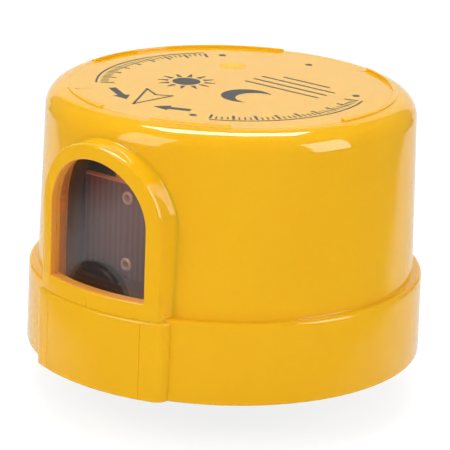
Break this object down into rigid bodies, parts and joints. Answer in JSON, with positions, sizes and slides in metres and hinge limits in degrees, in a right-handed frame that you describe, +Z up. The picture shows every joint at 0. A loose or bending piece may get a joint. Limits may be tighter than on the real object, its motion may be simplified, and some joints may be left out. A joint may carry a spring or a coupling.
{
  "type": "photocell switch",
  "caption": "Twist-lock outdoor lighting photocell switch: yellow moulded cover with an arched side window, locking blades below and a light cell with thermal contact inside.",
  "frame": {"origin": "centre of the blade circle in the gasket's lower face, where the switch seats on its receptacle", "axes": "+Z up along the twist axis, away from the receptacle; the window faces -Y"},
  "size_m": [0.0826, 0.0844, 0.0651],
  "materials": {
    "yellow_plastic": "glossy moulded polypropylene",
    "smoked_pane": "glossy smoked acrylic",
    "black_phenolic": "satin",
    "gasket_foam": "matt closed-cell foam",
    "brass": "satin stamped",
    "tinned_metal": "satin tinned",
    "cell_ceramic": "satin striped",
    "black_epoxy": "glossy dipped",
    "heater_ceramic": "matt glazed",
    "bimetal": "rolled",
    "wire_cover": "satin"
  },
  "bodies": {
    "root": {"housing": "yellow_plastic", "window_pane": "smoked_pane", "base_plate": "black_phenolic", "gasket": "gasket_foam", "blade_neutral": "brass", "blade_line": "brass", "blade_load": "brass", "blade_rivets": "tinned_metal", "neutral_tag": "brass", "cell_holder": "black_phenolic", "photocell": "cell_ceramic", "cell_eyelets": "tinned_metal", "cell_lead_upper": "wire_cover", "cell_lead_lower": "wire_cover", "varistor": "black_epoxy", "varistor_leads": "tinned_metal", "load_post": "brass", "bimetal_strip": "bimetal", "strip_rivet": "tinned_metal", "heater": "heater_ceramic", "heater_leads": "tinned_metal", "moving_contact": "tinned_metal", "line_bracket": "brass", "fixed_contact": "tinned_metal"}
  },
  "joints": []
}
